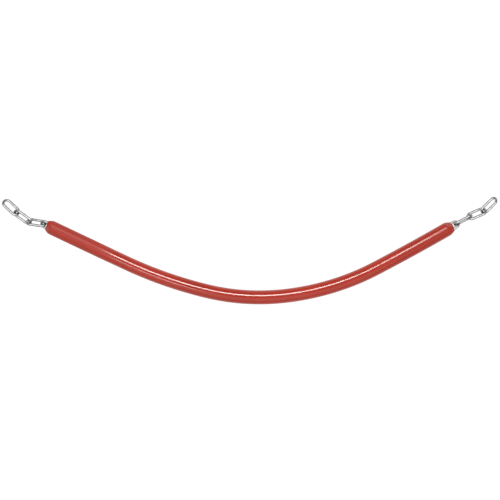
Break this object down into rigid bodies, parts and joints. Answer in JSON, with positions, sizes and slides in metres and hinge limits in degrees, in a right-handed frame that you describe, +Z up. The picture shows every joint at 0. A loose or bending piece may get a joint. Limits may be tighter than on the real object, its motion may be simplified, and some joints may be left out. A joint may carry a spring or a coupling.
{
  "type": "sleeved playground chain",
  "caption": "Welded steel chain in a round soft plastic sleeve whose ends are drawn in round the chain, with bare links at both ends to hook on to.",
  "frame": {"origin": "on the surface that the object lies on, under the middle of its box", "axes": "+X along the chain from the left end to the right, +Y across the U towards its open side, +Z up"},
  "size_m": [0.8796, 0.1906, 0.025],
  "materials": {
    "chain": "bright zinc plating",
    "sleeve": "smooth glossy red soft plastic"
  },
  "bodies": {
    "sleeved_chain": {"sleeve": "sleeve", "chain_link_04": "chain", "chain_link_05": "chain", "chain_link_06": "chain", "chain_link_07": "chain", "chain_link_08": "chain", "chain_link_09": "chain", "chain_link_10": "chain", "chain_link_11": "chain", "chain_link_12": "chain", "chain_link_13": "chain", "chain_link_14": "chain", "chain_link_15": "chain", "chain_link_16": "chain", "chain_link_17": "chain", "chain_link_18": "chain", "chain_link_19": "chain", "chain_link_20": "chain", "chain_link_21": "chain", "chain_link_22": "chain", "chain_link_23": "chain", "chain_link_24": "chain", "chain_link_25": "chain", "chain_link_26": "chain", "chain_link_27": "chain", "chain_link_28": "chain", "chain_link_29": "chain", "chain_link_30": "chain", "chain_link_31": "chain", "chain_link_32": "chain"},
    "left_inner_link": {"chain_link_03": "chain"},
    "left_middle_link": {"chain_link_02": "chain"},
    "left_end_link": {"chain_link_01": "chain"},
    "right_inner_link": {"chain_link_33": "chain"},
    "right_middle_link": {"chain_link_34": "chain"},
    "right_end_link": {"chain_link_35": "chain"}
  },
  "joints": [
    {"name": "left_inner_swing", "type": "hinge", "parent": "sleeved_chain", "child": "left_inner_link", "pos_m": [-0.36894, 0.04882, 0.0125], "axis": [-0.0015, 0.786, 0.6182], "range_deg": [-80, 80]},
    {"name": "left_middle_swing", "type": "hinge", "parent": "left_inner_link", "child": "left_middle_link", "pos_m": [-0.39539, 0.05182, 0.00684], "axis": [-0.3853, -0.6092, 0.6931], "range_deg": [-80, 80]},
    {"name": "left_end_swing", "type": "hinge", "parent": "left_middle_link", "child": "left_end_link", "pos_m": [-0.41653, 0.06903, 0.00948], "axis": [0.3676, 0.4999, 0.7842], "range_deg": [-80, 80]},
    {"name": "right_inner_swing", "type": "hinge", "parent": "sleeved_chain", "child": "right_inner_link", "pos_m": [0.36858, 0.04897, 0.0125], "axis": [0.4756, -0.8463, 0.2399], "range_deg": [-80, 80]},
    {"name": "right_middle_swing", "type": "hinge", "parent": "right_inner_link", "child": "right_middle_link", "pos_m": [0.39245, 0.06124, 0.00861], "axis": [-0.2372, 0.6675, 0.7058], "range_deg": [-80, 80]},
    {"name": "right_end_swing", "type": "hinge", "parent": "right_middle_link", "child": "right_end_link", "pos_m": [0.41747, 0.07158, 0.0072], "axis": [0.4631, -0.4647, 0.7547], "range_deg": [-80, 80]}
  ]
}
